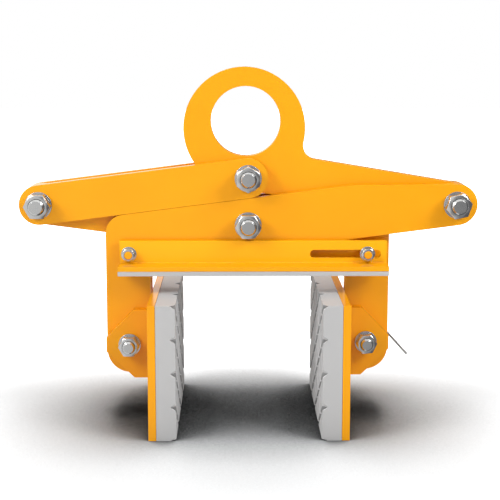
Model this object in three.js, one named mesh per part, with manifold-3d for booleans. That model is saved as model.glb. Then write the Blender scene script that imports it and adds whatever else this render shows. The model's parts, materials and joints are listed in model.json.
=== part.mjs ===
// Scissor clamp for lifting blocks, standing open on its two gripping jaws.
// Millimetres, +Z up, +X to the right and the front towards -Y. The origin lies on the ground,
// midway between the jaws, in the middle plane of the plates.
//
// The plates lie in three layers. Lever A and the left link are pairs of plates, in front and behind.
// Lever B and the ring arm are single thick plates between them. Pulling the ring up turns the levers
// about the centre pivot, and the jaws close.

import * as THREE from 'three';
import { mergeVertices } from 'three/addons/utils/BufferGeometryUtils.js';
import Module from 'manifold-3d';

const solids = await Module();
solids.setup();

// Pivot places. The jaw pivots' rise is from the middle of the jaws, the centre pivot's from the top
// of the jaws, and the others' from the centre pivot.
const jawPivotReach = 156;
const jawPivotRise = 14;
const centrePivotRise = 84.5;
const topPivotRise = 61.7;
const armPivotReach = 272.5;
const armPivotRise = 26.8;

// Plate layers and fits
const outerPlate = 12;
const middlePlate = 20;
const layerGap = 1;
const seatGap = 0.3;
const holeClearance = 0.4;
const topPivotPlay = 1.7;
const stopGap = 0.4;

// Levers
const bossRadius = 26;
const rightArmRadius = 27.2;
const webReach = 35.2;
const humpInset = 137.6;
const humpRise = 25.6;
const humpRadius = 60;
const kneeOffset = 5;
const legOutside = 30.3;
const legInside = 27.7;
const shoulderRadius = 25;
const footDrop = 40;
const footRadius = 30.5;
const footChamferWidth = 17.7;
const footChamferHeight = 32;
const footSoftRadius = 10;
const crotchDrop = 44.5;
const crotchRadius = 14;
const webRadius = 40;

// Ring arm. The ring's rise is from the top pivot, and the eye's from the middle of the ring.
const ringRadius = 79.4;
const ringOffset = -5;
const ringRise = 64;
const eyeRadius = 45.3;
const eyeOffset = 1.7;
const eyeRise = 9.3;
const armRootReach = 37.6;
const ringFilletRadius = 18.5;

// Jaws: a steel backing plate, two ears and a rubber pad with crossing grooves
const backingInset = 30;
const backingThickness = 9.7;
const jawHeight = 172;
const jawDepth = 268;
const rubberThickness = 24.5;
const risingGrooveDepth = 6.3;
const fallingGrooveDepth = 5.8;
const grooveWidth = 7;
const groovePitch = 43;
const grooveInset = 1.2;
const grooveSlope = Math.PI / 6;
const earThickness = 10;
const earRise = 46;
const earDrop = 45;
const earOutside = 30.6;
const earFlatInset = 5.5;
const earEndRise = 9.3;
const earEndDrop = 10;
const earFootInset = 6;

// Stop bar: an angle with a slot, and a rubber strip under it. It is carried by one stud over each jaw.
const barStudInset = 0.6;
const barStudDrop = 17.4;
const barLeftEnd = 12.1;
const barRightEnd = 25;
const barHeight = 35;
const barDepth = 37;
const barThickness = 6;
const barRootRadius = 2;
const barTopGap = 3.8;
const barFaceGap = 0.7;
const slotInset = 7.4;
const slotLength = 92.5;
const slotWidth = 10.8;
const stripThickness = 5.7;

// Fasteners: bolt or stud radius, hexagon across its flats, and the heights of the pieces
const pivotBolt = {
  radius: 10, flats: 30, head: 12.5, nut: 18, tailLength: 6, washer: 3, washerRadius: 17.7,
};
const jawBolt = {
  radius: 8, flats: 24, head: 10, nut: 14.8, tailLength: 5, washer: 3, washerRadius: 14.7,
};
const barStud = {
  radius: 5, flats: 16, nut: 8.4, tailLength: 1, washer: 2, washerRadius: 10, collarWall: 3.5,
};
const endChamfer = 1.6;
const hexChamfer = 2;
const sleeveWall = 4;

// Positioning wire at the right jaw
const wireRadius = 1.25;
const wireRun = 27.5;
const wireTailLength = 50;
const wireBendRadius = 5;
const wireTailSlope = -Math.PI * 0.267;
const wireLoopTurn = Math.PI * 1.65;

// Faceting and cutting
const facetError = 0.1;
const cutOverrun = 2;
const wireSides = 8;
const wireSteps = 44;
const quarterTurn = Math.PI / 2;
const fullTurn = Math.PI * 2;
const halfFlatTurn = Math.PI / 6;
const slightTurn = -Math.PI / 15;

// Places worked out from the sizes above
const middleFace = middlePlate / 2;
const outerInside = middleFace + layerGap;
const outerFace = outerInside + outerPlate;
const jawPivotHeight = jawHeight / 2 + jawPivotRise;
const centrePivotHeight = jawHeight + centrePivotRise;
const centrePivot = new THREE.Vector2(0, centrePivotHeight);
const topPivot = new THREE.Vector2(0, centrePivotHeight + topPivotRise);
const armPivotHeight = centrePivotHeight + armPivotRise;
const leftArmPivot = new THREE.Vector2(-armPivotReach, armPivotHeight);
const rightArmPivot = new THREE.Vector2(armPivotReach, armPivotHeight);
const leftJawPivot = new THREE.Vector2(-jawPivotReach, jawPivotHeight);
const rightJawPivot = new THREE.Vector2(jawPivotReach, jawPivotHeight);
const backingReach = jawPivotReach - backingInset;
const barBack = -(outerFace + seatGap + pivotBolt.washer + barFaceGap);
const barFront = barBack - barThickness;
const barTop = centrePivotHeight - pivotBolt.flats / 2 - barTopGap;
const barBottom = barTop - barHeight;
const barStudReach = jawPivotReach - barStudInset;
const barStudHeight = barTop - barStudDrop;
const barLeftReach = barStudReach + barLeftEnd;
const barRightReach = barStudReach + barRightEnd;
const barLength = barLeftReach + barRightReach;

const paint = { color: 0xf9aa1e, roughness: 0.38, metalness: 0.0 };
const zinc = { color: 0xb4b8bc, roughness: 0.32, metalness: 0.85 };
const rubber = { color: 0xbfbfbf, roughness: 0.8, metalness: 0.0 };
const springSteel = { color: 0x6e6660, roughness: 0.45, metalness: 0.7 };

// Outline tools. An outline is drawn in the plane of the plates, as X across and Z up.

function polar(centre, radius, angle) {
  return new THREE.Vector2(centre.x + radius * Math.cos(angle), centre.y + radius * Math.sin(angle));
}

function arc(centre, radius, start, end) {
  const facetAngle = 2 * Math.acos(1 - facetError / radius);
  const facets = Math.max(2, Math.ceil(Math.abs(end - start) / facetAngle));
  return Array.from({ length: facets + 1 }, (_, step) =>
    polar(centre, radius, start + (end - start) * step / facets));
}

function circle(centre, radius) {
  return arc(centre, radius, 0, fullTurn).slice(0, -1);
}

function direction(from, to) {
  return to.clone().sub(from).angle();
}

// The two touching points of a line laid on two circles, on the left (1) or right (-1) of the way
// from the first circle to the second.
function tangent(from, fromRadius, to, toRadius, side) {
  const lean = Math.acos((fromRadius - toRadius) / from.distanceTo(to));
  const normal = direction(from, to) + side * lean;
  return [polar(from, fromRadius, normal), polar(to, toRadius, normal)];
}

function heightOnLine(start, end, x) {
  return start.y + (end.y - start.y) * (x - start.x) / (end.x - start.x);
}

function reachOnLine(start, end, height) {
  return start.x + (end.x - start.x) * (height - start.y) / (end.y - start.y);
}

function roundedCorner(before, corner, after, radius) {
  const toBefore = before.clone().sub(corner);
  const toAfter = after.clone().sub(corner);
  const room = Math.min(toBefore.length(), toAfter.length()) / 2;
  toBefore.normalize();
  toAfter.normalize();
  const halfAngle = Math.acos(THREE.MathUtils.clamp(toBefore.dot(toAfter), -1, 1)) / 2;
  const setback = Math.min(radius / Math.tan(halfAngle), room);
  const fitted = setback * Math.tan(halfAngle);
  const inwards = toBefore.clone().add(toAfter).normalize();
  const centre = inwards.multiplyScalar(fitted / Math.sin(halfAngle)).add(corner);
  const start = direction(centre, toBefore.multiplyScalar(setback).add(corner));
  let sweep = direction(centre, toAfter.multiplyScalar(setback).add(corner)) - start;
  if (sweep > Math.PI) sweep -= fullTurn;
  if (sweep < -Math.PI) sweep += fullTurn;
  return arc(centre, fitted, start, start + sweep);
}

// Joins runs of points and corners into one closed outline. A step is a list of points, or a corner
// { at, radius } that gets rounded between its neighbours.
function outline(steps) {
  const lastOf = step => Array.isArray(step) ? step.at(-1) : step.at;
  const firstOf = step => Array.isArray(step) ? step[0] : step.at;
  return steps.flatMap((step, index) => {
    if (Array.isArray(step)) return step;
    if (!step.radius) return [step.at];
    const before = lastOf(steps.at(index - 1));
    const after = firstOf(steps[(index + 1) % steps.length]);
    return roundedCorner(before, step.at, after, step.radius);
  });
}

function anticlockwise(points) {
  return THREE.ShapeUtils.isClockWise(points) ? points.toReversed() : points;
}

function cutPlate(points, holes) {
  const shape = new THREE.Shape(anticlockwise(points));
  for (const hole of holes) shape.holes.push(new THREE.Path(anticlockwise(hole)));
  return shape;
}

function boltHole(pivot, bolt, play = holeClearance) {
  return circle(pivot, bolt.radius + play);
}

// Solid tools

function toSolid(geometry) {
  const bare = geometry.clone();
  bare.deleteAttribute('normal');
  bare.deleteAttribute('uv');
  const welded = mergeVertices(bare);
  const corners = welded.index.array;
  const triVerts = [];
  for (let first = 0; first < corners.length; first += 3) {
    const [a, b, c] = corners.slice(first, first + 3);
    if (a !== b && b !== c && c !== a) triVerts.push(a, b, c);
  }
  return new solids.Manifold(new solids.Mesh({
    numProp: 3,
    vertProperties: welded.getAttribute('position').array,
    triVerts: new Uint32Array(triVerts),
  }));
}

function toGeometry(solid) {
  const { vertProperties, triVerts } = solid.getMesh();
  const geometry = new THREE.BufferGeometry();
  geometry.setAttribute('position', new THREE.BufferAttribute(vertProperties, 3));
  geometry.setIndex(new THREE.BufferAttribute(triVerts, 1));
  geometry.computeVertexNormals();
  return geometry;
}

function cut(geometry, cutters) {
  return toGeometry(cutters.reduce((solid, cutter) => solid.subtract(toSolid(cutter)), toSolid(geometry)));
}

function piece(name, geometry, finish) {
  const mesh = new THREE.Mesh(geometry, new THREE.MeshStandardMaterial({ ...finish, flatShading: true }));
  mesh.name = name;
  return mesh;
}

function group(...children) {
  return new THREE.Group().add(...children);
}

// A flat plate with its outline in X and Z, between frontY and frontY + thickness
function plate(name, shape, frontY, thickness, finish = paint) {
  const slab = new THREE.ExtrudeGeometry(shape, { depth: thickness, bevelEnabled: false });
  const mesh = piece(name, slab, finish);
  mesh.rotation.x = quarterTurn;
  mesh.position.y = frontY + thickness;
  return mesh;
}

// Revolves a profile of radius and Y pairs about the Y axis, which is the axis of every bolt
function turned(profile) {
  const widest = Math.max(...profile.map(([radius]) => radius));
  const sides = circle(new THREE.Vector2(), widest).length;
  return new THREE.LatheGeometry(profile.map(([radius, y]) => new THREE.Vector2(radius, y)), sides);
}

function tube(innerRadius, outerRadius, length) {
  return turned([
    [innerRadius, 0], [outerRadius, 0], [outerRadius, length], [innerRadius, length], [innerRadius, 0],
  ]);
}

// Fasteners

// A hexagon from y = 0 to its height, a flat uppermost, with its corners turned off at the ends that
// are asked for
function hexagon(flats, height, chamferStart, chamferEnd) {
  const cornerRadius = flats / Math.sqrt(3);
  const prism = new THREE.CylinderGeometry(cornerRadius, cornerRadius, height, 6);
  prism.rotateY(halfFlatTurn).translate(0, height / 2, 0);
  const start = chamferStart ? hexChamfer : 0;
  const end = chamferEnd ? hexChamfer : 0;
  const faceRadius = flats / 2;
  const profile = [[0, 0]];
  if (start) profile.push([faceRadius, 0]);
  profile.push([cornerRadius + cutOverrun, start ? start + cutOverrun / 2 : 0]);
  profile.push([cornerRadius + cutOverrun, height - (end ? end + cutOverrun / 2 : 0)]);
  if (end) profile.push([faceRadius, height]);
  profile.push([0, height]);
  return toSolid(prism).intersect(toSolid(turned(profile)));
}

// The shank runs from y = 0 at its chamfered end to the head that starts at y = length
function boltGeometry(bolt, length) {
  const shank = toSolid(turned([
    [0, 0], [bolt.radius - endChamfer, 0], [bolt.radius, endChamfer],
    [bolt.radius, length + bolt.head / 2], [0, length + bolt.head / 2],
  ]));
  const head = hexagon(bolt.flats, bolt.head, false, true).translate([0, length, 0]);
  return toGeometry(shank.add(head));
}

function nutGeometry(bolt) {
  const bore = turned([
    [0, -cutOverrun], [bolt.radius + seatGap, -cutOverrun],
    [bolt.radius + seatGap, bolt.nut + cutOverrun], [0, bolt.nut + cutOverrun],
  ]);
  return toGeometry(hexagon(bolt.flats, bolt.nut, true, false).subtract(toSolid(bore)));
}

function at(mesh, y, turn = 0) {
  mesh.position.y = y;
  mesh.rotation.y = turn;
  return mesh;
}

// A bolt through the plates with its head behind, a washer under head and nut, and the nut in front.
// The plates reach from -halfStack to halfStack, and extraBehind leaves room for a piece behind them.
function boltSet(name, bolt, pivot, halfStack, turn, extraBehind = 0) {
  const washer = tube(bolt.radius + holeClearance, bolt.washerRadius, bolt.washer);
  const frontWasherY = -halfStack - seatGap - bolt.washer;
  const nutY = frontWasherY - seatGap - bolt.nut;
  const tailY = nutY - bolt.tailLength;
  const backWasherY = halfStack + seatGap + extraBehind;
  const headY = backWasherY + bolt.washer + seatGap;
  const set = group(
    at(piece(`${name}_bolt`, boltGeometry(bolt, headY - tailY), zinc), tailY, turn),
    at(piece(`${name}_nut`, nutGeometry(bolt), zinc), nutY, turn),
    at(piece(`${name}_washer_front`, washer, zinc), frontWasherY),
    at(piece(`${name}_washer_back`, washer.clone(), zinc), backWasherY),
  );
  set.position.set(pivot.x, 0, pivot.y);
  return set;
}

// Levers. This is lever A, with its leg on the left; lever B is its mirror image, with a smaller arm
// end that the link covers.
function leverShape(side, armEndRadius) {
  const [webBelow, endBelow] = tangent(centrePivot, webReach, rightArmPivot, armEndRadius, -1);
  const hump = new THREE.Vector2(armPivotReach - humpInset, armPivotHeight + humpRise);
  const [, endAbove] = tangent(hump, 0, rightArmPivot, armEndRadius, 1);
  const armEnd = arc(rightArmPivot, armEndRadius,
    direction(rightArmPivot, endBelow) - fullTurn, direction(rightArmPivot, endAbove));

  // The top edge lies just under the lower edge of the link, which rests on it when the jaws are open
  const stopRadius = bossRadius + stopGap;
  const [linkStart, linkEnd] = tangent(leftArmPivot, stopRadius, topPivot, stopRadius, -1);
  const stopEdge = x => new THREE.Vector2(x, heightOnLine(linkStart, linkEnd, x));
  const outside = -(jawPivotReach + legOutside);
  const inside = -(jawPivotReach - legInside);
  const footHeight = jawPivotHeight - footDrop;
  const footMiddle = new THREE.Vector2(outside + footRadius, footHeight + footRadius);
  const crotchHeight = centrePivotHeight - crotchDrop;
  const points = outline([
    armEnd,
    { at: hump, radius: humpRadius },
    { at: stopEdge(kneeOffset) },
    { at: stopEdge(outside), radius: shoulderRadius },
    arc(footMiddle, footRadius, Math.PI, Math.PI + quarterTurn),
    { at: new THREE.Vector2(inside - footChamferWidth, footHeight), radius: footSoftRadius },
    { at: new THREE.Vector2(inside, footHeight + footChamferHeight), radius: footSoftRadius },
    { at: new THREE.Vector2(inside, crotchHeight), radius: crotchRadius },
    {
      at: new THREE.Vector2(reachOnLine(webBelow, endBelow, crotchHeight), crotchHeight),
      radius: webRadius,
    },
  ]);
  const holes = [
    boltHole(centrePivot, pivotBolt), boltHole(rightArmPivot, pivotBolt), boltHole(leftJawPivot, jawBolt),
  ];
  const mirrored = list => list.map(point => new THREE.Vector2(side * point.x, point.y));
  return cutPlate(mirrored(points), holes.map(mirrored));
}

function linkShape() {
  const along = direction(leftArmPivot, topPivot);
  return cutPlate([
    ...arc(topPivot, bossRadius, along - quarterTurn, along + quarterTurn),
    ...arc(leftArmPivot, bossRadius, along + quarterTurn, along + 3 * quarterTurn),
  ], [boltHole(leftArmPivot, pivotBolt), boltHole(topPivot, pivotBolt)]);
}

// The ring and the right arm are one plate. A fillet joins the ring to the arm's top edge, and the
// arm's lower edge runs straight off the ring.
function ringArmShape() {
  const ring = new THREE.Vector2(ringOffset, topPivot.y + ringRise);
  const [rootAbove, endAbove] = tangent(topPivot, armRootReach, rightArmPivot, rightArmRadius, 1);
  const [ringBelow, endBelow] = tangent(ring, ringRadius, rightArmPivot, rightArmRadius, -1);
  const along = endAbove.clone().sub(rootAbove).normalize();
  const upwards = new THREE.Vector2(-along.y, along.x);
  const filletLine = endAbove.clone().addScaledVector(upwards, ringFilletRadius);
  const fromRing = filletLine.clone().sub(ring);
  const ahead = fromRing.dot(along);
  const reach = ringRadius + ringFilletRadius;
  const back = ahead - Math.sqrt(ahead * ahead - fromRing.lengthSq() + reach * reach);
  const fillet = filletLine.addScaledVector(along, -back);
  const filletStart = upwards.angle() + Math.PI;
  const ringStart = direction(ring, fillet) - fullTurn;
  return cutPlate([
    ...arc(rightArmPivot, rightArmRadius, direction(rightArmPivot, endBelow) - fullTurn, upwards.angle()),
    ...arc(fillet, ringFilletRadius, filletStart, direction(fillet, ring)),
    ...arc(ring, ringRadius, ringStart, direction(ring, ringBelow)),
  ], [
    boltHole(rightArmPivot, pivotBolt), boltHole(topPivot, pivotBolt, topPivotPlay),
    circle(new THREE.Vector2(ring.x + eyeOffset, ring.y + eyeRise), eyeRadius),
  ]);
}

// Jaws. The ears reach from the backing plate past the pivot, and their outer corners are cut off.
function earShape(side) {
  const plateEdge = backingReach + seatGap;
  const corner = (x, height) => new THREE.Vector2(side * x, jawPivotHeight + height);
  return cutPlate([
    corner(plateEdge, earRise), corner(jawPivotReach - earFlatInset, earRise),
    corner(jawPivotReach + earOutside, earEndRise), corner(jawPivotReach + earOutside, -earEndDrop),
    corner(jawPivotReach - earFootInset, -earDrop), corner(plateEdge, -earDrop),
  ], [boltHole(new THREE.Vector2(side * jawPivotReach, jawPivotHeight), jawBolt)]);
}

// A long wedge that cuts one groove. It lies along its own Z axis and opens towards +Y.
function grooveWedge(length, depth) {
  const spread = (depth + cutOverrun) / depth * grooveWidth / 2;
  const section = new THREE.Shape([
    new THREE.Vector2(0, -depth), new THREE.Vector2(spread, cutOverrun),
    new THREE.Vector2(-spread, cutOverrun),
  ]);
  return new THREE.ExtrudeGeometry(section, { depth: length, bevelEnabled: false })
    .translate(0, 0, -length / 2);
}

// The pad's gripping face, towards +X, has two families of grooves that cross into diamonds. They
// first cross at the grooveInset behind the front edge, with one crossing level with each end.
function rubberGeometry() {
  const pad = new THREE.BoxGeometry(rubberThickness, jawDepth, jawHeight);
  const outwards = new THREE.Vector3(1, 0, 0);
  const climb = (jawDepth - 2 * grooveInset) * Math.tan(grooveSlope);
  const extra = Math.ceil(climb / groovePitch);
  const rows = Math.round(jawHeight / groovePitch);
  const wedges = [];
  for (const rising of [1, -1]) {
    for (let row = 0; row <= rows + extra; row += 1) {
      const startRow = rising > 0 ? row - extra : row;
      const along = new THREE.Vector3(0, Math.cos(grooveSlope), rising * Math.sin(grooveSlope));
      const across = outwards.clone().cross(along);
      const middleHeight = startRow * groovePitch - jawHeight / 2 + rising * climb / 2;
      const place = new THREE.Matrix4().makeBasis(across, outwards, along)
        .setPosition(rubberThickness / 2, 0, middleHeight);
      const depth = rising > 0 ? risingGrooveDepth : fallingGrooveDepth;
      wedges.push(grooveWedge(2 * jawDepth, depth).applyMatrix4(place));
    }
  }
  return cut(pad, wedges);
}

function jaw(name, side, halfStack, turn = 0, extraBehind = 0) {
  const backing = piece(`${name}_backing_plate`,
    new THREE.BoxGeometry(backingThickness, jawDepth, jawHeight), paint);
  backing.position.set(side * (backingReach - backingThickness / 2), 0, jawHeight / 2);
  const pad = piece(`${name}_rubber_pad`, rubberGeometry(), rubber);
  const padBack = backingReach - backingThickness - seatGap;
  pad.position.set(side * (padBack - rubberThickness / 2), 0, jawHeight / 2);
  if (side > 0) pad.rotation.y = Math.PI;
  const earInside = halfStack + seatGap;
  const pivot = side < 0 ? leftJawPivot : rightJawPivot;
  return group(
    backing, pad,
    plate(`${name}_ear_front`, earShape(side), -earInside - earThickness, earThickness),
    plate(`${name}_ear_back`, earShape(side), earInside, earThickness),
    boltSet(name, jawBolt, pivot, earInside + earThickness, turn, extraBehind),
  );
}

function jawSleeve() {
  const length = 2 * (outerInside - seatGap);
  const boreRadius = jawBolt.radius + holeClearance;
  const sleeve = piece('jaw_left_spacer_sleeve', tube(boreRadius, boreRadius + sleeveWall, length), zinc);
  sleeve.position.set(leftJawPivot.x, -length / 2, leftJawPivot.y);
  return sleeve;
}

// A bent wire with an eye round the bolt of the right jaw, clamped behind the back ear. It runs along
// the ear and ends in a straight tail that points down and out.
function positioningWire(earFace) {
  const eyeMean = jawBolt.radius + holeClearance + wireRadius;
  const eyeCentre = new THREE.Vector2();
  const bend = new THREE.Vector2(wireRun, eyeMean);
  const tailEnd = polar(bend, wireTailLength, wireTailSlope);
  const eye = arc(eyeCentre, eyeMean, quarterTurn + wireLoopTurn, quarterTurn);
  const route = [...eye, ...roundedCorner(eye.at(-1), bend, tailEnd, wireBendRadius), tailEnd];
  const path = new THREE.CatmullRomCurve3(route.map(point => new THREE.Vector3(point.x, 0, point.y)));
  const section = new THREE.Shape(Array.from({ length: wireSides }, (_, side) =>
    polar(new THREE.Vector2(), wireRadius, fullTurn * side / wireSides)));
  const wire = piece('jaw_right_positioning_wire',
    new THREE.ExtrudeGeometry(section, { steps: wireSteps, extrudePath: path }), springSteel);
  wire.position.set(rightJawPivot.x, earFace + seatGap + wireRadius, rightJawPivot.y);
  return wire;
}

// Stop bar

// The angle's section, with Y to the right and Z up, is drawn along X from the left end to the right
function barGeometry() {
  const flangeFront = barBack - barDepth;
  const corner = (y, height, radius = 0) => ({ at: new THREE.Vector2(y, height), radius });
  const section = new THREE.Shape(outline([
    corner(barBack, barBottom), corner(barBack, barTop), corner(barFront, barTop),
    corner(barFront, barBottom + barThickness, barRootRadius),
    corner(flangeFront, barBottom + barThickness), corner(flangeFront, barBottom),
  ]));
  const sectionAxes = new THREE.Matrix4().makeBasis(
    new THREE.Vector3(0, 1, 0), new THREE.Vector3(0, 0, 1), new THREE.Vector3(1, 0, 0));
  const angle = new THREE.ExtrudeGeometry(section, { depth: barLength, bevelEnabled: false })
    .applyMatrix4(sectionAxes).translate(-barLeftReach, 0, 0);
  const slotRadius = slotWidth / 2;
  const slotEnd = new THREE.Vector2(barRightReach - slotInset - slotRadius, barStudHeight);
  const slotStart = slotEnd.clone().setX(slotEnd.x - slotLength + slotWidth);
  return cut(angle, [
    throughBar(circle(new THREE.Vector2(-barStudReach, barStudHeight), barStud.radius + holeClearance)),
    throughBar([
      ...arc(slotEnd, slotRadius, -quarterTurn, quarterTurn),
      ...arc(slotStart, slotRadius, quarterTurn, 3 * quarterTurn),
    ]),
  ]);
}

function throughBar(points) {
  const depth = barThickness + 2 * cutOverrun;
  return new THREE.ExtrudeGeometry(new THREE.Shape(points), { depth, bevelEnabled: false })
    .rotateX(quarterTurn).translate(0, barBack + cutOverrun, 0);
}

function stopBar() {
  const strip = piece('stop_bar_rubber_strip',
    new THREE.BoxGeometry(barLength, barDepth, stripThickness), rubber);
  strip.position.set((barRightReach - barLeftReach) / 2, barBack - barDepth / 2,
    barBottom - seatGap - stripThickness / 2);
  return group(piece('stop_bar_angle', barGeometry(), paint), strip);
}

// A stud welded to the plate whose front face is at plateFace, with a collar that holds the bar off
// the plate, and a washer and a nut in front of the bar
function barStudSet(name, side, plateFace) {
  const studBack = plateFace - seatGap;
  const collarFront = barBack + seatGap;
  const washerY = barFront - seatGap - barStud.washer;
  const nutY = washerY - seatGap - barStud.nut;
  const studLength = studBack - nutY + barStud.tailLength;
  const stud = turned([
    [0, 0], [barStud.radius - endChamfer / 2, 0], [barStud.radius, endChamfer / 2],
    [barStud.radius, studLength], [0, studLength],
  ]);
  const boreRadius = barStud.radius + holeClearance;
  const collar = tube(boreRadius, boreRadius + barStud.collarWall, studBack - collarFront);
  const washer = tube(boreRadius, barStud.washerRadius, barStud.washer);
  const set = group(
    at(piece(`${name}_stud`, stud, paint), studBack - studLength),
    at(piece(`${name}_collar`, collar, paint), collarFront),
    at(piece(`${name}_washer`, washer, zinc), washerY),
    at(piece(`${name}_nut`, nutGeometry(barStud), zinc), nutY),
  );
  set.position.set(side * barStudReach, 0, barStudHeight);
  return set;
}

// Assembly

function leverA() {
  const shape = leverShape(1, rightArmRadius);
  return group(
    plate('lever_a_plate_front', shape, -outerFace, outerPlate),
    plate('lever_a_plate_back', shape, outerInside, outerPlate),
    boltSet('centre_pivot', pivotBolt, centrePivot, outerFace, 0),
    boltSet('right_arm_pivot', pivotBolt, rightArmPivot, outerFace, slightTurn),
    barStudSet('bar_left', -1, -outerFace),
  );
}

function leverB() {
  return group(
    plate('lever_b_plate', leverShape(-1, bossRadius), -middleFace, middlePlate),
    barStudSet('bar_right', 1, -middleFace),
  );
}

function leftLink() {
  const shape = linkShape();
  return group(
    plate('link_plate_front', shape, -outerFace, outerPlate),
    plate('link_plate_back', shape, outerInside, outerPlate),
    boltSet('left_arm_pivot', pivotBolt, leftArmPivot, outerFace, 0),
    boltSet('top_pivot', pivotBolt, topPivot, outerFace, halfFlatTurn),
  );
}

const wireRoom = 2 * wireRadius + seatGap;
const rightEarFace = middleFace + seatGap + earThickness;

const clamp = group(
  plate('ring_arm_plate', ringArmShape(), -middleFace, middlePlate),
  leftLink(),
  leverA(),
  leverB(),
  jaw('jaw_left', -1, outerFace),
  jawSleeve(),
  jaw('jaw_right', 1, middleFace, slightTurn, wireRoom),
  positioningWire(rightEarFace),
  stopBar(),
);

export default clamp;
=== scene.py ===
# Scissor clamp for lifting blocks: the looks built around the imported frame.
# Metres, +Z up, the front towards -Y, as in the frame.

import json
import math

import bmesh
import bpy
from mathutils import Matrix, Vector


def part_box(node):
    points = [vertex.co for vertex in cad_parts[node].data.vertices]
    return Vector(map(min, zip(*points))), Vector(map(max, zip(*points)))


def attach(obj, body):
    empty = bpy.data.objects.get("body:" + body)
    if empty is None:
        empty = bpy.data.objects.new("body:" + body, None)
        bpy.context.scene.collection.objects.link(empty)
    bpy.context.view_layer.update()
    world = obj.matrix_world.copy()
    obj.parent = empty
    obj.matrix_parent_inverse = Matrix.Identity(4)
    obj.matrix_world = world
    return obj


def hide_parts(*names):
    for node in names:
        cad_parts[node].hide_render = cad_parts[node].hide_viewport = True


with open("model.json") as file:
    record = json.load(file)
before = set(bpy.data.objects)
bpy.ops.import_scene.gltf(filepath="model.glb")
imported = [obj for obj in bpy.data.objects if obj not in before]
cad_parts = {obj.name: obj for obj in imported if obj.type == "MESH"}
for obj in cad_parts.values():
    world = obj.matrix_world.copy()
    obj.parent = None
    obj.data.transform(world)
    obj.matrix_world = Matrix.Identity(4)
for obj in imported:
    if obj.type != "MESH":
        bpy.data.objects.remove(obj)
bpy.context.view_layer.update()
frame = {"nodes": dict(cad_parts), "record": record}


def srgb(red, green, blue):
    """A colour given from 0 to 255, as linear values by the standard curve."""
    def linear(value):
        share = value / 255
        return share / 12.92 if share <= 0.04045 else ((share + 0.055) / 1.055) ** 2.4
    return (linear(red), linear(green), linear(blue), 1.0)


MM = 0.001
DEG = math.pi / 180
TURN = 360 * DEG
QUARTER = TURN / 4
HEX_STEP = TURN / 6

# Camera, from the vanishing lines of the photograph
PICTURE_SIZE = 500
FOCAL_PIXELS = 1256
SENSOR_WIDTH = 36
DEPTH_VANISHES_AT = (234, 44)
HORIZON_TILT = 0.0005
CAMERA_PLACE = Vector((-18.2, -1647.0, 490.4)) * MM
CAMERA_REACH = 50

# Rounded edges of cut plates, moulded rubber and turned steel
PLATE_EDGE = 0.35 * MM
BAR_EDGE = 0.25 * MM
RUBBER_EDGE = 0.25 * MM
STEEL_EDGE = 0.28 * MM
EDGE_SEGMENTS = 2
SHARP_ABOVE = 38 * DEG
GROOVE_SHARP_ABOVE = 25 * DEG
FLAT_WITHIN = 0.6 * DEG
FULL_AREA_WEIGHT = 100
WELD_DISTANCE = 0.002 * MM
SEAM_DISTANCE = 0.001 * MM

# Fasteners by thread: bolt radius, hexagon across its flats, thread pitch and depth
THREADS = {
    "m20": {"radius": 10 * MM, "flats": 30 * MM, "pitch": 2.5 * MM, "depth": 1.35 * MM},
    "m16": {"radius": 8 * MM, "flats": 24 * MM, "pitch": 2.0 * MM, "depth": 1.1 * MM},
    "m10": {"radius": 5 * MM, "flats": 16 * MM, "pitch": 1.5 * MM, "depth": 0.8 * MM},
}
BORE_GAP = 0.12 * MM
SEAT_GAP = 0.3 * MM
WASHER_GAP = 0.4 * MM
BOLT_CHAMFER = 1.7 * MM
STUD_CHAMFER_SHARE = 1 / 6
HEX_CHAMFER_ANGLE = 30 * DEG
HEX_FACE_SHARE = 0.95
SINK_SHARE = 0.06

# Sides of every turned shape, and the corners of each one's profile
FASTENER_SIDES = 96
NUT_CORNERS = 9
WASHER_CORNERS = 5
BOLT_CORNERS = 8

# How far each hexagon is turned from a flat on top, as in the photograph
ARM_NUT_TURN = -12 * DEG
JAW_NUT_TURN = -4 * DEG
TOP_NUT_TURN = 30 * DEG

# Threads: each turn has a row of crests and a row of valleys, and the lead-in turns lie flat at the start.
# The shank ends inside them, in a core that is a little thinner than their valleys.
THREAD_INSIDE_NUT = 4 * MM
THREAD_SIDES = 48
THREAD_ROWS = 16
THREAD_LEAD_IN = 1.5
CORE_DEPTHS = 1.2
CORE_REACH = 0.5 * MM
SAME_ROW_WITHIN = 0.1

# Rubber pads
GROOVE_DEPTH = 6.2 * MM
GROOVE_WIDTH = 7 * MM
GROOVE_PITCH = 43 * MM
GROOVE_INSET = 1.2 * MM
GROOVE_SLOPE = 30 * DEG

# Positioning wire at the right jaw: its route starts with an eye round the jaw bolt
WIRE_RADIUS = 1.5 * MM
WIRE_RUN = 27.5 * MM
WIRE_TAIL = 50 * MM
WIRE_BEND_RADIUS = 5 * MM
WIRE_TAIL_SLOPE = -48.06 * DEG
WIRE_LOOP_TURN = 297 * DEG
WIRE_SIDES = 16
EYE_STEPS = 48
BEND_STEPS = 12

# Powder coat. The stop bar's yellow is lighter than the plates' as painted light, and below the top of its
# flange a darker tone is painted shade, which ends over the rubber strip.
FLANGE_HEIGHT = 7 * MM
FLANGE_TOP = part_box("stop_bar_rubber_strip")[1].z + FLANGE_HEIGHT
PLATE_PAINT = {"deep": srgb(229, 152, 8), "bright": srgb(235, 158, 12)}
BAR_PAINT_WITH_PAINTED_LIGHT_AND_SHADE = {"deep": srgb(235, 169, 8), "bright": srgb(241, 175, 12),
             "low": srgb(232, 158, 10), "painted_shade_top": FLANGE_TOP}
PAINTED_SHADE_FADE = 2 * MM
TONE_DEEP_AT = 0.3
TONE_BRIGHT_AT = 0.7
SMEAR_STRETCH = (1.0, 1.0, 3.5)
PEEL_RELIEF = 0.7
WAVE_RELIEF = 0.9
SPECK_RELIEF = 0.12
PAINT_ROUGHNESS = 0.12
SMEAR_ROUGHNESS = 0.08
SPECK_ROUGHNESS = 0.03

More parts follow.
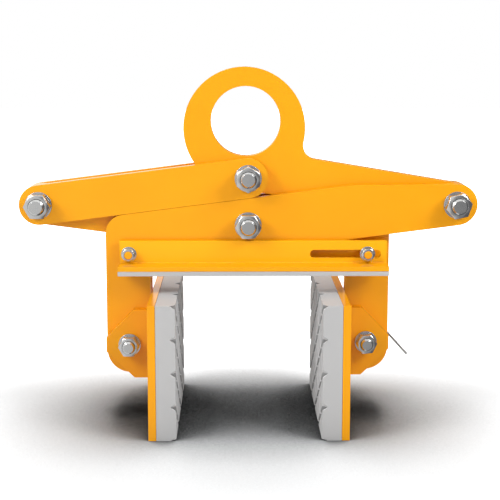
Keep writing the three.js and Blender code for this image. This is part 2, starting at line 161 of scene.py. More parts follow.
# Zinc plating
ZINC_COOL = srgb(187, 189, 191)
ZINC_WARM = srgb(200, 199, 195)
ROLLING_STRETCH = (1.0, 0.15, 1.0)
ZINC_ROUGHNESS = 0.15
ZINC_MOTTLE_ROUGHNESS = 0.10
ROLLING_ROUGHNESS = 0.05

# Rubber
RUBBER_DARK = srgb(170, 169, 169)
RUBBER_LIGHT = srgb(181, 180, 179)
CLOUD_SHARE = 0.75
PIT_LIMIT = 0.45
PIT_RELIEF = 0.5
RUBBER_ROUGHNESS = 0.66
GRAIN_ROUGHNESS = 0.16
CLOUD_ROUGHNESS = 0.06

# Spring wire
WIRE_DARK = srgb(126, 123, 120)
WIRE_LIGHT = srgb(152, 149, 146)
DRAWING_STRETCH = (1.0, 6.0, 1.0)
WIRE_ROUGHNESS = 0.34
WIRE_MOTTLE_ROUGHNESS = 0.16

# Floor: its colour, the shadow near the object, and the shadow's core below the legs' feet, which lies
# where more stands within FOOT_REACHED of the floor than within FOOT_NOT_REACHED
BLACK = (0.0, 0.0, 0.0, 1.0)
WHITE = (1.0, 1.0, 1.0, 1.0)
FLOOR_REACH = 8.0
FLOOR_COLOUR = (0.62, 0.634, 0.643, 1.0)
FLOOR_ROUGHNESS = 0.9
SHADOW_REACH = 0.26
SHADOW_SAMPLES = 8
SHADOW_BLACK_AT = 0.30
SHADOW_DEPTH = 1.65
FOOT_NOT_REACHED = 0.05
FOOT_REACHED = 0.085
FOOT_SAMPLES = 24
FOOT_DARK_AT = 0.66
FOOT_OPEN_AT = 0.84

# The floor's glow for the camera, which grows behind the object and far from it
GLOW_NEAR = 0.13
GLOW_BEHIND = 0.62
BEHIND_STARTS_AT = 0.06
BEHIND_ENDS_AT = 0.36
GLOW_FAR = 0.9
FAR_STARTS_AT = 0.45
FAR_ENDS_AT = 1.6

# Room: the light that it gives, and where gloss sees it turn from dim to bright, along each axis
ROOM_LIGHT = (0.50, 0.50, 0.50, 1.0)
ROOM_DIM = (0.16, 0.16, 0.17, 1.0)
HALVES_MEET_WITHIN = 0.1
DIM_BEHIND_AT = 0.03
BRIGHT_BEHIND_AT = -0.06
DIM_AHEAD_AT = 0.36
BRIGHT_AHEAD_AT = -0.30
DIM_ABOVE_AT = 0.35
BRIGHT_ABOVE_AT = 0.75

# Lamps: places, aims and sizes in metres, power in watts
SOFTBOXES = {
    "overhead softbox": {
        "place": (0, -0.95, 2.95), "aim": (0, 0, 0.2), "width": 2.5, "height": 2.0, "power": 6},
    "left softbox": {
        "place": (-1.55, -1.1, 1.5), "aim": (0, 0, 0.25), "width": 1.0, "height": 1.0, "power": 36},
    "right softbox": {
        "place": (1.55, -1.1, 1.5), "aim": (0, 0, 0.25), "width": 1.0, "height": 1.0, "power": 36},
    "back softbox": {
        "place": (0, 1.5, 1.4), "aim": (0, 0, 0.2), "width": 3.0, "height": 0.9, "power": 36},
}

# Numbers of a Mix node's colour sockets, which share their names with others
MIX_FIRST_COLOUR = 6
MIX_SECOND_COLOUR = 7
MIX_COLOUR_OUT = 2


# Shader and geometry node maths

class Field:
    """A node socket that can be used in a Python expression."""

    def __init__(self, nodes, socket):
        self.nodes = nodes
        self.socket = socket

    def calculated(self, operation, *values):
        return self.nodes.add("ShaderNodeMath", {"operation": operation}, dict(enumerate(values)))

    def __add__(self, other):
        return self.calculated("ADD", self, other)

    def __radd__(self, other):
        return self.calculated("ADD", other, self)

    def __sub__(self, other):
        return self.calculated("SUBTRACT", self, other)

    def __rsub__(self, other):
        return self.calculated("SUBTRACT", other, self)

    def __mul__(self, other):
        return self.calculated("MULTIPLY", self, other)

    def __rmul__(self, other):
        return self.calculated("MULTIPLY", other, self)

    def __truediv__(self, other):
        return self.calculated("DIVIDE", self, other)

    def __rtruediv__(self, other):
        return self.calculated("DIVIDE", other, self)

    def __mod__(self, other):
        return self.calculated("FLOORED_MODULO", self, other)

    def __rmod__(self, other):
        return self.calculated("FLOORED_MODULO", other, self)

    def power(self, exponent):
        return self.calculated("POWER", self, exponent)

    def cosine(self):
        return self.calculated("COSINE", self)

    def sine(self):
        return self.calculated("SINE", self)

    def least(self, other):
        return self.calculated("MINIMUM", self, other)

    def most(self, other):
        return self.calculated("MAXIMUM", self, other)

    def clamped(self, low, high):
        return self.most(low).least(high)

    def matches(self, row):
        """1 in this row, and 0 in every other."""
        return self.calculated("COMPARE", self, row, SAME_ROW_WITHIN)

    def share_between(self, start, end):
        """0 at the start, 1 at the end, and in proportion between them."""
        return ((self - start) / (end - start)).clamped(0.0, 1.0)

    def eased_between(self, start, end):
        """0 at the start, 1 at the end, and smooth at both."""
        return self.nodes.add("ShaderNodeMapRange", {"interpolation_type": "SMOOTHSTEP"}, {
            "Value": self, "From Min": start, "From Max": end})

    def blend(self, first, second):
        """The first colour at 0, and the second at 1."""
        return self.nodes.add("ShaderNodeMix", {"data_type": "RGBA"}, {
            "Factor": self, MIX_FIRST_COLOUR: first, MIX_SECOND_COLOUR: second}, output=MIX_COLOUR_OUT)


class Nodes:
    """A node tree, with one method that adds any node."""

    def __init__(self, tree):
        self.tree = tree

    def add(self, kind, settings=None, inputs=None, output=0):
        """Settings come first. A list of fields is linked to one socket that takes several."""
        node = self.tree.nodes.new(kind)
        for name, value in (settings or {}).items():
            if name == "items":
                while len(node.index_switch_items) < value:
                    node.index_switch_items.new()
            else:
                setattr(node, name, value)
        for key, value in (inputs or {}).items():
            for one in value if isinstance(value, list) else [value]:
                if isinstance(one, Field):
                    self.tree.links.new(one.socket, node.inputs[key])
                else:
                    node.inputs[key].default_value = one
        return Field(self, node.outputs[output]) if node.outputs else None


# Materials

def new_material(name):
    material = bpy.data.materials.new(name)
    material.use_nodes = True
    material.node_tree.nodes.clear()
    return material, Nodes(material.node_tree)


def finish_material(nodes, values):
    shader = nodes.add("ShaderNodeBsdfPrincipled", {}, values)
    nodes.add("ShaderNodeOutputMaterial", {}, {"Surface": shader})


def object_place(nodes, stretch=(1.0, 1.0, 1.0)):
    place = nodes.add("ShaderNodeTexCoord", output="Object")
    return nodes.add("ShaderNodeMapping", {}, {"Vector": place, "Scale": stretch})


def along_axis(vector, axis):
    return vector.nodes.add("ShaderNodeSeparateXYZ", {}, {"Vector": vector}, output=axis)


def noise(place, scale, detail, roughness):
    return place.nodes.add("ShaderNodeTexNoise", {}, {
        "Vector": place, "Scale": scale, "Detail": detail, "Roughness": roughness})


def relief(height, strength, distance):
    return height.nodes.add("ShaderNodeBump", {}, {
        "Strength": strength, "Distance": distance, "Height": height})


def painted_steel(name, deep, bright, low=None, painted_shade_top=0.0):
    """Glossy powder coat: a fine orange peel, slow changes of tone and faint handling marks.

    Where there is a tone low, it is painted shade: it lies below a given height and fades out above it.
    """
    material, nodes = new_material(name)
    place = object_place(nodes)
    tone = noise(place, scale=7.0, detail=3.0, roughness=0.6)
    colour = tone.share_between(TONE_DEEP_AT, TONE_BRIGHT_AT).blend(deep, bright)
    # painted shade: a darker tone below the given height, faded out just above it
    if low:
        height = along_axis(place, "Z")
        colour = height.eased_between(painted_shade_top + PAINTED_SHADE_FADE, painted_shade_top).blend(colour, low)
    peel = noise(place, scale=420.0, detail=1.5, roughness=0.45)
    wave = noise(place, scale=95.0, detail=1.0, roughness=0.4)
    speck = noise(place, scale=520.0, detail=2.0, roughness=0.7)
    smear = noise(object_place(nodes, SMEAR_STRETCH), scale=24.0, detail=4.0, roughness=0.65)
    bumps = peel * PEEL_RELIEF + wave * WAVE_RELIEF + speck * SPECK_RELIEF
    finish_material(nodes, {
        "Base Color": colour,
        "Roughness": PAINT_ROUGHNESS + smear * SMEAR_ROUGHNESS + speck * SPECK_ROUGHNESS,
        "Normal": relief(bumps, strength=0.07, distance=0.6 * MM),
        "Specular IOR Level": 0.25, "Coat Weight": 0.08, "Coat Roughness": 0.06})
    return material


def zinc_plated():
    """Bright zinc on hexagons and washers: faint rolling marks and a mottled passivation."""
    material, nodes = new_material("zinc_plate")
    mottle = noise(object_place(nodes), scale=160.0, detail=3.0, roughness=0.6)
    marks = noise(object_place(nodes, ROLLING_STRETCH), scale=900.0, detail=2.0, roughness=0.6)
    finish_material(nodes, {
        "Base Color": mottle.blend(ZINC_COOL, ZINC_WARM), "Metallic": 1.0,
        "Roughness": ZINC_ROUGHNESS + mottle * ZINC_MOTTLE_ROUGHNESS + marks * ROLLING_ROUGHNESS,
        "Normal": relief(marks, strength=0.12, distance=0.2 * MM)})
    return material


def moulded_rubber():
    """Pale grey moulded rubber: matt, with a fine grain, pits and faint flow marks."""
    material, nodes = new_material("pale_grey_rubber")
    place = object_place(nodes)
    cloud = noise(place, scale=11.0, detail=4.0, roughness=0.6)
    grain = noise(place, scale=780.0, detail=2.0, roughness=0.6)
    pits = nodes.add("ShaderNodeTexVoronoi", {}, {"Vector": place, "Scale": 340.0})
    tone = (cloud * CLOUD_SHARE + grain * (1 - CLOUD_SHARE)).clamped(0.0, 1.0)
    bumps = grain + pits.clamped(0.0, PIT_LIMIT) * PIT_RELIEF
    finish_material(nodes, {
        "Base Color": tone.blend(RUBBER_DARK, RUBBER_LIGHT),
        "Roughness": RUBBER_ROUGHNESS + grain * GRAIN_ROUGHNESS + cloud * CLOUD_ROUGHNESS,
        "Normal": relief(bumps, strength=0.22, distance=0.35 * MM), "Specular IOR Level": 0.35})
    return material


def spring_steel():
    """Oil-blackened wire: dark and half bright, with drawing lines along it."""
    material, nodes = new_material("dark_spring_wire")
    mottle = noise(object_place(nodes), scale=240.0, detail=3.0, roughness=0.6)
    lines = noise(object_place(nodes, DRAWING_STRETCH), scale=700.0, detail=1.0, roughness=0.5)
    finish_material(nodes, {
        "Base Color": mottle.blend(WIRE_DARK, WIRE_LIGHT), "Metallic": 0.85,
        "Roughness": WIRE_ROUGHNESS + mottle * WIRE_MOTTLE_ROUGHNESS,
        "Normal": relief(lines, strength=0.10, distance=0.1 * MM)})
    return material


FINISHES = {
    "yellow_paint": painted_steel("yellow_powder_coat", **PLATE_PAINT),
    # the stop bar's paint holds painted light (its lighter yellow) and painted shade (the darker tone below
    # its flange's top)
    "bar_paint_with_painted_light_and_shade": painted_steel("yellow_powder_coat_with_painted_light_and_shade", **BAR_PAINT_WITH_PAINTED_LIGHT_AND_SHADE),
    "zinc": zinc_plated(),
    "grey_rubber": moulded_rubber(),
    "spring_steel": spring_steel(),
}


# Meshes and pieces

def new_object(name, data):
    thing = bpy.data.objects.new(name, data)
    bpy.context.scene.collection.objects.link(thing)
    return thing


def closed_mesh(name, work):
    """Ends a mesh that was built by bmesh, with its faces turned outwards."""
    bmesh.ops.recalc_face_normals(work, faces=work.faces)
    mesh = bpy.data.meshes.new(name)
    work.to_mesh(mesh)
    work.free()
    return mesh


def baked(thing):
    """Turns an object and its modifiers into a plain mesh object that keeps its name."""
    graph = bpy.context.evaluated_depsgraph_get()
    mesh = bpy.data.meshes.new_from_object(
        thing.evaluated_get(graph), preserve_all_data_layers=True, depsgraph=graph)
    thing.modifiers.clear()
    thing.data = mesh
    return thing


def eased(thing, width, angle=SHARP_ABOVE):
    """Rounds the sharp edges, and keeps the large flats flat in shading."""
    edge = thing.modifiers.new("edge", "BEVEL")
    edge.width = width
    edge.segments = EDGE_SEGMENTS
    edge.limit_method = "ANGLE"
    edge.angle_limit = angle
    thing.data.polygons.foreach_set("use_smooth", [True] * len(thing.data.polygons))
    normals = thing.modifiers.new("normals", "WEIGHTED_NORMAL")
    normals.keep_sharp = False
    normals.weight = FULL_AREA_WEIGHT
    return baked(thing)


def body_of_node(node):
    bodies = frame["record"]["behaviour"]["bodies"]
    return next(body for body, members in bodies.items() if node in members)


def placed(thing, slot, *nodes, finish=None):
    """Gives a finished piece its material and its body, and hides the nodes that it stands for."""
    thing.data.materials.clear()
    thing.data.materials.append(FINISHES[finish or slot])
    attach(thing, body_of_node(nodes[0]))
    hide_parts(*nodes)


def eased_plate(node, width, slot="yellow_paint", finish=None):
    """A copy of a frame plate with its cut edges eased, as they are before coating."""
    mesh = frame["nodes"][node].data.copy()
    work = bmesh.new()
    work.from_mesh(mesh)
    bmesh.ops.remove_doubles(work, verts=work.verts, dist=WELD_DISTANCE)
    bmesh.ops.dissolve_limit(work, angle_limit=FLAT_WITHIN, verts=work.verts, edges=work.edges)
    work.to_mesh(mesh)
    work.free()
    placed(eased(new_object("coated_" + node, mesh), width), slot, node, finish=finish)


def back_point(node):
    """Where the axis of a round node meets its back."""
    low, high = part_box(node)
    return Vector(((low.x + high.x) / 2, high.y, (low.z + high.z) / 2))


def width_of(node):
    low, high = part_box(node)
    return high.x - low.x


def depth_of(node):
    low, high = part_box(node)
    return high.y - low.y


# Nuts, washers and bolts

def new_tree(name, sizes):
    """A geometry node tree with an input for each size and for the finish. Gives its nodes and inputs."""
    tree = bpy.data.node_groups.new(name, "GeometryNodeTree")
    interface = tree.interface
    interface.new_socket("Geometry", in_out="INPUT", socket_type="NodeSocketGeometry")
    interface.new_socket("Geometry", in_out="OUTPUT", socket_type="NodeSocketGeometry")
    for size in sizes:
        interface.new_socket(size, in_out="INPUT", socket_type="NodeSocketFloat")
    interface.new_socket("Finish", in_out="INPUT", socket_type="NodeSocketMaterial")
    nodes = Nodes(tree)
    entry = nodes.add("NodeGroupInput").socket.node
    return nodes, {socket.name: Field(nodes, socket) for socket in entry.outputs if socket.name}


def end_tree(nodes, entry, part):
    """Puts the part on every point of the modified mesh, turned about the bolt's axis, and ends the tree."""
    turn = nodes.add("GeometryNodeInputNamedAttribute", {"data_type": "FLOAT"}, {"Name": "turn"})
    rotation = nodes.add("ShaderNodeCombineXYZ", {}, {"X": QUARTER, "Y": turn, "Z": 0.0})
    copies = nodes.add("GeometryNodeInstanceOnPoints", {}, {
        "Points": entry["Geometry"], "Instance": part, "Rotation": rotation})
    real = nodes.add("GeometryNodeRealizeInstances", {}, {"Geometry": copies})
    coated = nodes.add("GeometryNodeSetMaterial", {}, {"Geometry": real, "Material": entry["Finish"]})
    nodes.add("NodeGroupOutput", {}, {"Geometry": coated})
    return nodes.tree


def revolved(nodes, sides, rows, radius_and_rise):
    """A closed surface of revolution about local Z. radius_and_rise gets the angle and the row number."""
    grid = nodes.add("GeometryNodeMeshGrid", {}, {"Vertices X": sides + 1, "Vertices Y": rows})
    index = nodes.add("GeometryNodeInputIndex")
    row = index % float(rows)
    angle = (index - row) / rows * (TURN / sides)
    radius, rise = radius_and_rise(angle, row)
    place = nodes.add("ShaderNodeCombineXYZ", {}, {
        "X": radius * angle.cosine(), "Y": radius * angle.sine(), "Z": rise})
    shell = nodes.add("GeometryNodeSetPosition", {}, {"Geometry": grid, "Position": place})
    joined = nodes.add("GeometryNodeMergeByDistance", {}, {"Geometry": shell, "Distance": SEAM_DISTANCE})
    return nodes.add("GeometryNodeFlipFaces", {}, {"Mesh": joined})


def by_row(row, values):
    return row.nodes.add("GeometryNodeIndexSwitch", {"data_type": "FLOAT", "items": len(values)}, {
        "Index": row, **{number: value for number, value in enumerate(values, 1)}})


def profile(row, *corners):
    """The radius and the rise in a row, where corners gives both for every row."""
    radii, rises = zip(*corners)
    return by_row(row, radii), by_row(row, rises)


def hexagon(angle, flats):
    """The radius of a hexagon's turned face, its side at this angle, and how far the cone drops there."""
    lean = angle % HEX_STEP - HEX_STEP / 2
    side = flats / 2 / lean.cosine()
    face = flats * (HEX_FACE_SHARE / 2)
    return face, side, (side - face) * math.tan(HEX_CHAMFER_ANGLE)


def hex_nut_tree():
    """A hexagon with both ends turned to a cone and both ends of its bore countersunk."""
    nodes, size = new_tree("hex_nut", ["Flats", "Height", "Bore Radius"])
    height = size["Height"]
    bore = size["Bore Radius"]

    def nut_profile(angle, row):
        face, side, drop = hexagon(angle, size["Flats"])
        sink = bore * SINK_SHARE
        return profile(
            row, (bore, sink), (bore + sink, 0.0), (face, 0.0), (side, drop), (side, height - drop),
            (face, height), (bore + sink, height), (bore, height - sink), (bore, sink))

    return end_tree(nodes, size, revolved(nodes, FASTENER_SIDES, NUT_CORNERS, nut_profile))


def washer_tree():
    nodes, size = new_tree("flat_washer", ["Outer Radius", "Bore Radius", "Thickness"])
    inner = size["Bore Radius"]
    outer = size["Outer Radius"]
    thick = size["Thickness"]

    def washer_profile(angle, row):
        return profile(row, (inner, 0.0), (outer, 0.0), (outer, thick), (inner, thick), (inner, 0.0))

    return end_tree(nodes, size, revolved(nodes, FASTENER_SIDES, WASHER_CORNERS, washer_profile))


def bolt_tree():
    """A hexagon head at the bottom, a plain shank, and a thread that ends in a chamfered face."""
    nodes, size = new_tree("hex_bolt", [
        "Flats", "Head Height", "Radius", "Length", "Thread Length", "Pitch", "Thread Depth", "Chamfer"])
    head = size["Head Height"]
    radius = size["Radius"]
    length = size["Thread Length"]
    thread_start = size["Length"] - length
    core_end = thread_start + CORE_REACH

    def shank_profile(angle, row):
        face, side, drop = hexagon(angle, size["Flats"])
        core = radius - size["Thread Depth"] * CORE_DEPTHS
        return profile(
            row, (0.0, 0.0), (face, 0.0), (side, drop), (side, head), (radius, head),
            (radius, thread_start), (core, core_end), (0.0, core_end))

    def thread_profile(angle, row):
        turns = row / 2 + angle / TURN - THREAD_LEAD_IN
        rise = (turns * size["Pitch"]).clamped(0.0, length)
        valley = (row % 2.0) * size["Thread Depth"]
        cone = radius - size["Chamfer"]
        turned = (radius - valley).least(cone + length - rise).least(cone + rise)
        ends = row.matches(0.0) + row.matches(THREAD_ROWS - 1.0)
        return turned * (1.0 - ends), rise + thread_start

    shank = revolved(nodes, FASTENER_SIDES, BOLT_CORNERS, shank_profile)
    thread = revolved(nodes, THREAD_SIDES, THREAD_ROWS, thread_profile)
    return end_tree(nodes, size, nodes.add("GeometryNodeJoinGeometry", {}, {"Geometry": [shank, thread]}))


TREES = {"nut": hex_nut_tree(), "washer": washer_tree(), "bolt": bolt_tree()}


def zinc_pieces(name, kind, turns, sizes):
    """One piece with a part at the back of every node in turns, which gives the turn of each."""
    mesh = bpy.data.meshes.new(name)
    mesh.from_pydata([back_point(node) for node in turns], [], [])
    mesh.attributes.new("turn", "FLOAT", "POINT").data.foreach_set("value", list(turns.values()))
    thing = new_object(name, mesh)
    maker = thing.modifiers.new(kind, "NODES")
    maker.node_group = TREES[kind]
    inputs = {**sizes, "Finish": FINISHES["zinc"]}
    for item in TREES[kind].interface.items_tree:
        if item.in_out == "INPUT" and item.name in inputs:
            maker[item.identifier] = inputs[item.name]
    placed(eased(baked(thing), STEEL_EDGE), "zinc", *turns)


def zinc_nuts(name, thread, turns):
    size = THREADS[thread]
    height = depth_of(next(iter(turns)))
    zinc_pieces(name, "nut", turns, {
        "Flats": size["flats"], "Height": height, "Bore Radius": size["radius"] + BORE_GAP})


def zinc_washers(name, thread, *nodes):
    zinc_pieces(name, "washer", dict.fromkeys(nodes, 0.0), {
        "Outer Radius": width_of(nodes[0]) / 2, "Bore Radius": THREADS[thread]["radius"] + WASHER_GAP,
        "Thickness": depth_of(nodes[0])})


def bolt_sets(body, thread, turns):
    """The nuts, washers and bolts of one body and one thread. turns gives each set's name and its turn."""
    size = THREADS[thread]
    zinc_nuts(f"{thread}_nuts_of_{body}", thread, {name + "_nut": turn for name, turn in turns.items()})
    washers = [f"{name}_washer_{side}" for name in turns for side in ("front", "back")]
    zinc_washers(f"{thread}_washers_of_{body}", thread, *washers)
    first = next(iter(turns))
    nut_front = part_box(first + "_nut")[0].y
    head_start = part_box(first + "_washer_back")[1].y + SEAT_GAP
    low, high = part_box(first + "_bolt")
    zinc_pieces(f"{thread}_bolts_of_{body}", "bolt", {name + "_bolt": turn for name, turn in turns.items()}, {
        "Flats": size["flats"], "Head Height": high.y - head_start, "Radius": size["radius"],
        "Length": high.y - low.y, "Thread Length": nut_front - low.y + THREAD_INSIDE_NUT,
        "Pitch": size["pitch"], "Thread Depth": size["depth"], "Chamfer": BOLT_CHAMFER})


# Turned pieces: studs, collars and the spacer sleeve

def turned_piece(node, rows, slot):
    """A turned piece on the axis of its node: rows of (radius, distance towards the front from its back)."""
    point = back_point(node)
    work = bmesh.new()
    rings = []
    for radius, ahead in rows:
        angles = [TURN * step / FASTENER_SIDES for step in range(FASTENER_SIDES if radius else 1)]
        rings.append([work.verts.new(point + Vector((
            radius * math.cos(angle), -ahead, radius * math.sin(angle)))) for angle in angles])
    for near, far in zip(rings, rings[1:]):
        for step in range(FASTENER_SIDES):
            corners = [near[step % len(near)], near[(step + 1) % len(near)],
                       far[(step + 1) % len(far)], far[step % len(far)]]
            work.faces.new(list(dict.fromkeys(corners)))
    bmesh.ops.remove_doubles(work, verts=work.verts, dist=WELD_DISTANCE)
    placed(eased(new_object("turned_" + node, closed_mesh(node, work)), STEEL_EDGE), slot, node)


def tube_piece(node, inner, slot):
    outer = width_of(node) / 2
    length = depth_of(node)
    turned_piece(node, [(inner, 0), (outer, 0), (outer, length), (inner, length), (inner, 0)], slot)


def stud_set(name):
    """A painted stud and collar, and the nut and washer that hold the stop bar on them."""
    radius = THREADS["m10"]["radius"]
    chamfer = radius * STUD_CHAMFER_SHARE
    length = depth_of(name + "_stud")
    turned_piece(name + "_stud", [
        (0, 0), (radius, 0), (radius, length - chamfer), (radius - chamfer, length), (0, length)],
        "yellow_paint")
    tube_piece(name + "_collar", radius + WASHER_GAP, "yellow_paint")
    zinc_nuts(f"m10_nut_of_{name}", "m10", {name + "_nut": 0.0})
    zinc_washers(f"m10_washer_of_{name}", "m10", name + "_washer")


# Rubber pads

def groove_lines(low, high):
    """The middle lines of the grooves on the gripping face: a point (y, z) and a direction (y, z)."""
    depth = high.y - low.y - 2 * GROOVE_INSET
    climb = depth * math.tan(GROOVE_SLOPE)
    extra = math.ceil(climb / GROOVE_PITCH)
    rows = round((high.z - low.z) / GROOVE_PITCH)
    lines = []
    for rising in (1, -1):
        along = Vector((math.cos(GROOVE_SLOPE), rising * math.sin(GROOVE_SLOPE)))
        for row in range(-extra, rows + extra + 1):
            lines.append((Vector((low.y + GROOVE_INSET, low.z + row * GROOVE_PITCH)), along))
    return lines


def groove_depth(point, lines):
    """How deep the grooves cut at a point (y, z) of the gripping face."""
    nearest = min(abs((point - start).cross(along)) for start, along in lines)
    return GROOVE_DEPTH * max(0.0, 1 - nearest / (GROOVE_WIDTH / 2))


def score_face(work, face_x, low, high, lines):
    """Cuts the face along the edges and the middle of every groove, and along the mitres where they cross."""
    def score(point, along):
        bmesh.ops.bisect_plane(
            work, geom=work.verts[:] + work.edges[:] + work.faces[:], dist=WELD_DISTANCE,
            plane_co=(face_x, point.x, point.y), plane_no=(0, -along.y, along.x))

    for start, along in lines:
        sideways = Vector((-along.y, along.x)) * GROOVE_WIDTH / 2
        for offset in (sideways, Vector((0, 0)), -sideways):
            score(start + offset, along)
    column = GROOVE_PITCH / 2 / math.tan(GROOVE_SLOPE)
    for step in range(math.ceil((high.y - low.y) / column) + 1):
        score(Vector((low.y + GROOVE_INSET + step * column, low.z)), Vector((0, 1)))
    for step in range(2 * math.ceil((high.z - low.z) / GROOVE_PITCH) + 1):
        score(Vector((low.y, low.z + step * GROOVE_PITCH / 2)), Vector((1, 0)))
    bmesh.ops.remove_doubles(work, verts=work.verts, dist=WELD_DISTANCE)


def rubber_pad(side):
    """The pad's face is scored, sunk along its grooves, and walled back to the backing plate."""
    node = f"jaw_{side}_rubber_pad"
    low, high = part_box(node)
    face_x, back_x = (high.x, low.x) if side == "left" else (low.x, high.x)
    inwards = -1 if side == "left" else 1
    lines = groove_lines(low, high)
    work = bmesh.new()
    corners = [(low.y, low.z), (high.y, low.z), (high.y, high.z), (low.y, high.z)]
    work.faces.new([work.verts.new((face_x, y, z)) for y, z in corners])
    score_face(work, face_x, low, high, lines)
    for vert in work.verts:
        vert.co.x += inwards * groove_depth(Vector((vert.co.y, vert.co.z)), lines)
    rim = [edge for edge in work.edges if edge.is_boundary]
    for wall in bmesh.ops.extrude_edge_only(work, edges=rim)["geom"]:
        if isinstance(wall, bmesh.types.BMVert):
            wall.co.x = back_x
    bmesh.ops.holes_fill(work, edges=[edge for edge in work.edges if edge.is_boundary], sides=0)
    bmesh.ops.dissolve_limit(work, angle_limit=FLAT_WITHIN, verts=work.verts, edges=work.edges)
    pad = new_object(f"grooved_pad_{side}", closed_mesh(node, work))
    placed(eased(pad, RUBBER_EDGE, GROOVE_SHARP_ABOVE), "grey_rubber", node)


# Positioning wire

def arc_points(centre, radius, start, end, count):
    angles = [start + (end - start) * step / count for step in range(count + 1)]
    return [centre + radius * Vector((math.cos(angle), math.sin(angle))) for angle in angles]


def positioning_wire():
    """A wire with an eye round the right jaw's bolt, a short run along the ear and a straight tail."""
    node = "jaw_right_positioning_wire"
    eye_radius = THREADS["m16"]["radius"] + WASHER_GAP + WIRE_RADIUS
    bend = Vector((WIRE_RUN, eye_radius))
    bend_centre = bend - WIRE_BEND_RADIUS * Vector((math.tan(-WIRE_TAIL_SLOPE / 2), 1))
    tail_way = Vector((math.cos(WIRE_TAIL_SLOPE), math.sin(WIRE_TAIL_SLOPE)))
    route = arc_points(Vector((0, 0)), eye_radius, QUARTER + WIRE_LOOP_TURN, QUARTER, EYE_STEPS)
    route += arc_points(bend_centre, WIRE_BEND_RADIUS, QUARTER, QUARTER + WIRE_TAIL_SLOPE, BEND_STEPS)
    route += [bend + tail_way * WIRE_TAIL]
    pivot = back_point("jaw_right_nut")
    low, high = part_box(node)
    middle = (low.y + high.y) / 2
    curve = bpy.data.curves.new(node, "CURVE")
    curve.dimensions = "3D"
    curve.bevel_depth = WIRE_RADIUS
    curve.bevel_resolution = WIRE_SIDES // 4
    curve.use_fill_caps = True
    spline = curve.splines.new("POLY")
    spline.points.add(len(route) - 1)
    for point, flat in zip(spline.points, route):
        point.co = (pivot.x + flat.x, middle, pivot.z + flat.y, 1)
    tube = new_object("bent_curve", curve)
    mesh = bpy.data.meshes.new_from_object(tube.evaluated_get(bpy.context.evaluated_depsgraph_get()))
    bpy.data.objects.remove(tube)
    placed(eased(new_object("bent_positioning_wire", mesh), STEEL_EDGE), "spring_steel", node)


# The clamp

for plate in ("ring_arm_plate", "link_plate_front", "link_plate_back", "lever_a_plate_front",
              "lever_a_plate_back", "lever_b_plate"):
    eased_plate(plate, PLATE_EDGE)
for jaw in ("jaw_left", "jaw_right"):
    for plate in ("backing_plate", "ear_front", "ear_back"):
        eased_plate(f"{jaw}_{plate}", PLATE_EDGE)
# the stop bar takes the paint with painted light and painted shade
eased_plate("stop_bar_angle", BAR_EDGE, finish="bar_paint_with_painted_light_and_shade")
eased_plate("stop_bar_rubber_strip", RUBBER_EDGE, "grey_rubber")

bolt_sets("left_link", "m20", {"left_arm_pivot": 0.0, "top_pivot": TOP_NUT_TURN})
bolt_sets("lever_a", "m20", {"centre_pivot": 0.0, "right_arm_pivot": ARM_NUT_TURN})
bolt_sets("jaw_left", "m16", {"jaw_left": 0.0})
bolt_sets("jaw_right", "m16", {"jaw_right": JAW_NUT_TURN})
stud_set("bar_left")
stud_set("bar_right")
tube_piece("jaw_left_spacer_sleeve", THREADS["m16"]["radius"] + WASHER_GAP, "zinc")

rubber_pad("left")
rubber_pad("right")
positioning_wire()


# Stage, light and camera

def openness(nodes, reach, samples):
    """1 where nothing stands over the floor within this reach, and less where something does."""
    return nodes.add("ShaderNodeAmbientOcclusion", {"samples": samples}, {"Distance": reach}, output="AO")


def pale_floor():
    """White where nothing stands near, and darker in the object's shadow, most of all below the legs' feet.

    Only the camera sees its glow, and gloss looks through it to the room.
    """
    mesh = bpy.data.meshes.new("floor")
    corners = [(-FLOOR_REACH, -FLOOR_REACH, 0), (FLOOR_REACH, -FLOOR_REACH, 0),
               (FLOOR_REACH, FLOOR_REACH, 0), (-FLOOR_REACH, FLOOR_REACH, 0)]
    mesh.from_pydata(corners, [], [(0, 1, 2, 3)])
    floor = new_object("floor", mesh)
    material, nodes = new_material("pale_floor")
    shadow = openness(nodes, SHADOW_REACH, SHADOW_SAMPLES).share_between(SHADOW_BLACK_AT, 1.0)
    below_feet = openness(nodes, FOOT_NOT_REACHED, FOOT_SAMPLES)
    to_feet = openness(nodes, FOOT_REACHED, FOOT_SAMPLES)
    core = (to_feet / below_feet).eased_between(FOOT_DARK_AT, FOOT_OPEN_AT)
    open_share = shadow.power(SHADOW_DEPTH) * core
    camera_ray = nodes.add("ShaderNodeLightPath", output="Is Camera Ray")
    glossy_ray = nodes.add("ShaderNodeLightPath", output="Is Glossy Ray")
    place = nodes.add("ShaderNodeTexCoord", output="Object")
    away = nodes.add("ShaderNodeVectorMath", {"operation": "LENGTH"}, {0: place}, output="Value")
    far = away.eased_between(FAR_STARTS_AT, FAR_ENDS_AT) * GLOW_FAR
    behind = along_axis(place, "Y").eased_between(BEHIND_STARTS_AT, BEHIND_ENDS_AT) * GLOW_BEHIND
    finish_material(nodes, {
        "Base Color": open_share.blend(BLACK, FLOOR_COLOUR), "Roughness": FLOOR_ROUGHNESS,
        "Specular IOR Level": 0.0, "Alpha": 1.0 - glossy_ray,
        "Emission Color": open_share.blend(BLACK, WHITE),
        "Emission Strength": camera_ray * (far + behind + GLOW_NEAR)})
    mesh.materials.append(material)


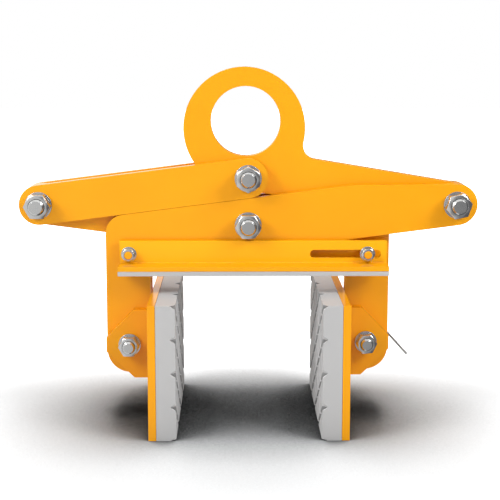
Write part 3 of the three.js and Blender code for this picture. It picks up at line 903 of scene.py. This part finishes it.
def studio_world():
    """White to the camera, and a plain grey light on the object.

    What gloss sees is bright above and on the left, and dim on the right.
    """
    world = bpy.data.worlds.new("studio")
    world.use_nodes = True
    world.node_tree.nodes.clear()
    nodes = Nodes(world.node_tree)
    camera_ray = nodes.add("ShaderNodeLightPath", output="Is Camera Ray")
    glossy_ray = nodes.add("ShaderNodeLightPath", output="Is Glossy Ray")
    way = nodes.add("ShaderNodeTexCoord", output="Generated")
    across = along_axis(way, "X")
    depth = along_axis(way, "Y")
    behind = depth.eased_between(-HALVES_MEET_WITHIN, HALVES_MEET_WITHIN)
    ahead = depth.eased_between(HALVES_MEET_WITHIN, -HALVES_MEET_WITHIN)
    left_behind = behind * across.eased_between(DIM_BEHIND_AT, BRIGHT_BEHIND_AT)
    left_ahead = ahead * across.eased_between(DIM_AHEAD_AT, BRIGHT_AHEAD_AT)
    above = along_axis(way, "Z").eased_between(DIM_ABOVE_AT, BRIGHT_ABOVE_AT)
    gloss = (left_behind + left_ahead).most(above).blend(ROOM_DIM, WHITE)
    seen = camera_ray.blend(glossy_ray.blend(ROOM_LIGHT, gloss), WHITE)
    background = nodes.add("ShaderNodeBackground", {}, {"Color": seen, "Strength": 1.0})
    nodes.add("ShaderNodeOutputWorld", {}, {"Surface": background})
    bpy.context.scene.world = world


def softbox(name, place, aim, width, height, power):
    light = bpy.data.lights.new(name, "AREA")
    light.shape = "RECTANGLE"
    light.size = width
    light.size_y = height
    light.energy = power
    lamp = new_object(name, light)
    lamp.location = place
    lamp.rotation_euler = (Vector(aim) - Vector(place)).to_track_quat("-Z", "Y").to_euler()


def photograph_camera():
    """The camera's axes follow from where the depth lines meet and from the tilt of the horizon."""
    half = PICTURE_SIZE / 2
    depth = Vector(((DEPTH_VANISHES_AT[0] - half) / FOCAL_PIXELS,
                    (DEPTH_VANISHES_AT[1] - half) / FOCAL_PIXELS, 1)).normalized()
    level = Vector((1, HORIZON_TILT, 0))
    across = (level - depth * level.dot(depth)).normalized()
    axes = Matrix((across, depth, across.cross(depth)))
    right, down, ahead = axes.col
    camera = bpy.data.cameras.new("camera")
    camera.sensor_width = SENSOR_WIDTH
    camera.lens = FOCAL_PIXELS / PICTURE_SIZE * SENSOR_WIDTH
    camera.clip_end = CAMERA_REACH
    eye = new_object("camera", camera)
    turn = Matrix((right, -down, -ahead)).transposed().to_4x4()
    eye.matrix_world = Matrix.Translation(CAMERA_PLACE) @ turn
    bpy.context.scene.camera = eye


pale_floor()
studio_world()
for name, values in SOFTBOXES.items():
    softbox(name, **values)
photograph_camera()
bpy.context.scene.view_settings.view_transform = "Standard"
